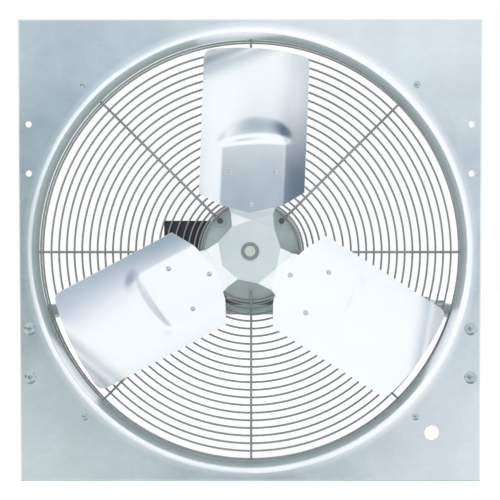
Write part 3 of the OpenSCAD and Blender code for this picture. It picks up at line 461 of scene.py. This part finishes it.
def blade_span(u):
    """Inner and outer end of the blade at a distance u across it."""
    half = CHORD / 2
    across = np.abs(u)
    further_out = np.interp(across, [0, PAD_HALF, half], [0, ROOT_OUT_AT_PAD, ROOT_OUT_AT_EDGE])
    arc_r = math.hypot(TIP_R, TIP_ASIDE)
    tip = tip_arc(arc_r, u)
    corner_u = half - CORNER_R
    corner_v = tip_arc(arc_r - CORNER_R, np.sign(u) * corner_u)
    beyond = np.clip(across - corner_u, 0, CORNER_R)
    rounded = corner_v + np.sqrt(CORNER_R ** 2 - beyond ** 2)
    return ROOT_R + further_out, np.where(across > corner_u, np.minimum(tip, rounded), tip)


def blade_depth(u, v):
    """How far the blade's face lies behind the riveting pad's face."""
    bow_r = ((CHORD / 2) ** 2 + CAMBER ** 2) / (2 * CAMBER)
    hollow = np.sqrt(bow_r ** 2 - u ** 2) - math.sqrt(bow_r ** 2 - PAD_HALF ** 2)
    flat = soft_min(hollow, 0, PAD_EASE)
    across = np.abs(u) / PAD_HALF
    arch = np.sqrt(np.clip(1 - (across / ARCH_END) ** 2, 0, 1))
    start = PAD_END - PAD_ARCH * np.clip(across, 0, 1) ** 2
    foot = start + PAD_SLOPE * (SLOPE_LEFT + (1 - SLOPE_LEFT) * arch)
    step = smooth(v, start, foot)
    beyond = smooth(v, foot, foot + DIP_REACH * arch + DIP_LEAST)
    dip = PAD_DIP * step * (1 - beyond) * (1 - smooth(across, DIP_FADE, ARCH_END))
    return flat + (hollow - flat) * step + dip


def pitched_and_turned(u, v, w, turn):
    """Points of a blade in the frame, at its pitch and turned about the fan axis."""
    x = u * math.cos(PITCH) + w * math.sin(PITCH)
    y = -u * math.sin(PITCH) + w * math.cos(PITCH) + PROP_Y
    spun_x = x * math.cos(turn) + v * math.sin(turn)
    spun_z = -x * math.sin(turn) + v * math.cos(turn)
    return np.stack([spun_x, y, spun_z], -1).reshape(-1, 3)


def sheet_faces():
    """Faces of a front and a back grid of points, joined round their rim."""
    back = COLUMNS * ROWS
    faces = []
    for i in range(COLUMNS - 1):
        for a in range(i * ROWS, i * ROWS + ROWS - 1):
            b = a + ROWS
            faces.append((a, b, b + 1, a + 1))
            faces.append((back + a, back + a + 1, back + b + 1, back + b))
    rim = [i * ROWS for i in range(COLUMNS)]
    rim += [(COLUMNS - 1) * ROWS + j for j in range(1, ROWS)]
    rim += [i * ROWS + ROWS - 1 for i in range(COLUMNS - 2, -1, -1)]
    rim += list(range(ROWS - 2, 0, -1))
    return faces + [(b, a, back + a, back + b) for a, b in zip(rim, rim[1:] + rim[:1])]


def blade_piece(name, turn):
    """A formed sheet blade: a fine grid on both faces, closed round its edge. The points
    stand closer together towards its long edges, and its UV map is the sheet laid flat."""
    across = CHORD / 2 * np.sin(np.linspace(-math.pi / 2, math.pi / 2, COLUMNS))
    inner, outer = blade_span(across)
    u = np.repeat(across[:, None], ROWS, 1)
    v = inner[:, None] + (outer - inner)[:, None] * np.linspace(0, 1, ROWS)[None, :]
    face = PAD_FACE + blade_depth(u, v)
    points = [pitched_and_turned(u, v, face + behind, turn) for behind in (0, BLADE_T)]
    obj = mesh_object(name, np.concatenate(points), sheet_faces())
    layer = obj.data.uv_layers.new(name="sheet")
    flat_uv = np.stack([u.reshape(-1), v.reshape(-1)], -1)
    for loop in obj.data.loops:
        layer.data[loop.index].uv = flat_uv[loop.vertex_index % len(flat_uv)]
    dress(obj, FINISHES["blade_aluminium"])
    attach(obj, "rotor")
    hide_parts(name.replace("_sheet", ""))


def make_blades():
    """The three blades, clockwise from the top one."""
    for k, side in enumerate(("top", "right", "left")):
        blade_piece(f"{side}_blade_sheet", REST_TURN + math.radians(120 * k))


# ======== Stage, light and camera ========

def toward(left, up):
    """Direction from the fan, by degrees to the viewer's left of -Y and degrees up."""
    a, e = math.radians(left), math.radians(up)
    return Vector((-math.sin(a) * math.cos(e), -math.cos(a) * math.cos(e), math.sin(e)))


# The room's own light, a little over white, and the soft cards that the metal mirrors in it:
# degrees left, degrees up, degrees from the card's middle to where it starts to fade and to
# where it is gone, colour. A later card lies over an earlier one.
ROOM = (1.06, 1.09, 1.1)
CARDS = [
    # behind the fan, below it, and low at the far right
    (180, 0, 23, 35, (0.4, 0.49, 0.48)),
    (0, -90, 25, 38, (0.5, 0.58, 0.68)),
    (-57, -58, 9, 17, (0.32, 0.42, 0.5)),
    # round the viewer, mirrored by the panel: on the right, on the left and below
    (-18, 16, 7, 15, (0.98, 1.02, 1.06)),
    (-19, 2, 6, 12, (0.3, 0.4, 0.5)),
    (-17, -18, 7, 15, (1.04, 1.08, 1.1)),
    (14, 18, 7, 13, (0.45, 0.58, 0.68)),
    (20, 0, 8, 15, (0.06, 0.17, 0.2)),
    (17, -18, 7, 13, (0.84, 0.92, 0.88)),
    (1, -19, 6, 12, (0.12, 0.22, 0.24)),
    # at the far left, mirrored by the top blade
    (70, 6, 9, 14, (0.08, 0.13, 0.2)),
    (50, 4, 6, 10, (0.36, 0.45, 0.52)),
    (68, 19, 5, 8, (0.62, 0.68, 0.72)),
    (61, 17, 1.5, 3, (1.15, 1.17, 1.18)),
    (66, 15.5, 1.5, 3, (1.15, 1.17, 1.18)),
    # in the viewer's place
    (0, 0, 7, 12, (0.68, 0.78, 0.79)),
]

FLOOR_HALF = 6.0
FLOOR_GREY = 0.3
FLOOR_GLOW = 0.8

LAMP_PLACE = toward(35, 40) * 2.4
LAMP_SIZE = 1.4
LAMP_POWER = 8

# The eye is a metre in front of the panel. The photograph is cut from off the middle of its
# lens's field, so the lens is shifted, by shares of the picture's width.
EYE = (0.0165, -1.0, -0.012)
TIPPED_DOWN_DEG = 0.9
SENSOR_MM = 36
WIDTH_SEEN_AT_1_M = 0.7545
SHIFT_X = -0.0223
SHIFT_Y = 0.0394


def light_room():
    """A bright studio seen by the metal, plain white behind the object."""
    world = bpy.data.worlds.new("studio")
    SCENE.world = world
    sky = ShaderTree(world, empty=True)
    direction = sky.add("ShaderNodeTexCoord").outputs["Generated"]
    radiance = ROOM
    for left, up, full, gone, colour in CARDS:
        facing = sky.add("ShaderNodeVectorMath", {0: direction, 1: toward(left, up)},
                         operation="DOT_PRODUCT").outputs["Value"]
        fade = {"Value": facing, "From Min": math.cos(math.radians(gone)),
                "From Max": math.cos(math.radians(full))}
        share = sky.add("ShaderNodeMapRange", fade, interpolation_type="SMOOTHSTEP")
        radiance = sky.blend(share.outputs["Result"], radiance, colour)
    seen = sky.add("ShaderNodeLightPath").outputs["Is Camera Ray"]
    light = sky.add("ShaderNodeBackground", {"Color": sky.blend(seen, radiance, (1, 1, 1))})
    sky.add("ShaderNodeOutputWorld", {"Surface": light.outputs[0]})


def make_floor():
    """A white floor, part paint and part glow, that keeps a faint shadow of the fan."""
    z = CAD_BOX[0][2]
    signs = ((-1, -1), (1, -1), (1, 1), (-1, 1))
    corners = [(x * FLOOR_HALF, y * FLOOR_HALF, z) for x, y in signs]
    floor = mesh_object("floor", corners, [(0, 1, 2, 3)])
    material = bpy.data.materials.new("floor_white")
    tree = ShaderTree(material, empty=True)
    diffuse = tree.add("ShaderNodeBsdfDiffuse", {"Color": (FLOOR_GREY, FLOOR_GREY, FLOOR_GREY, 1)})
    glow = tree.add("ShaderNodeEmission", {"Color": (1, 1, 1, 1), "Strength": FLOOR_GLOW})
    both = tree.add("ShaderNodeAddShader", {0: diffuse.outputs[0], 1: glow.outputs[0]})
    tree.add("ShaderNodeOutputMaterial", {"Surface": both.outputs[0]})
    dress(floor, material)
    floor.visible_glossy = False


def make_lamp():
    """One large soft lamp above and to the left of the viewer, which no metal mirrors."""
    data = bpy.data.lights.new("key", "AREA")
    data.shape = "DISK"
    data.size = LAMP_SIZE
    data.energy = LAMP_POWER
    lamp = bpy.data.objects.new("key", data)
    SCENE.collection.objects.link(lamp)
    lamp.location = LAMP_PLACE
    lamp.rotation_euler = (-LAMP_PLACE).to_track_quat("-Z", "Y").to_euler()
    lamp.visible_glossy = False


def make_camera():
    """The photograph's view: right of the fan axis and below it, tipped down slightly."""
    data = bpy.data.cameras.new("camera")
    data.sensor_width = SENSOR_MM
    data.lens = SENSOR_MM / WIDTH_SEEN_AT_1_M
    data.shift_x = SHIFT_X
    data.shift_y = SHIFT_Y
    camera = bpy.data.objects.new("camera", data)
    SCENE.collection.objects.link(camera)
    camera.location = EYE
    camera.rotation_euler = (math.radians(90 - TIPPED_DOWN_DEG), 0, 0)
    SCENE.camera = camera


make_camera()
dress_cad_nodes()
make_blades()
light_room()
make_floor()
make_lamp()
SCENE.view_settings.view_transform = "Standard"
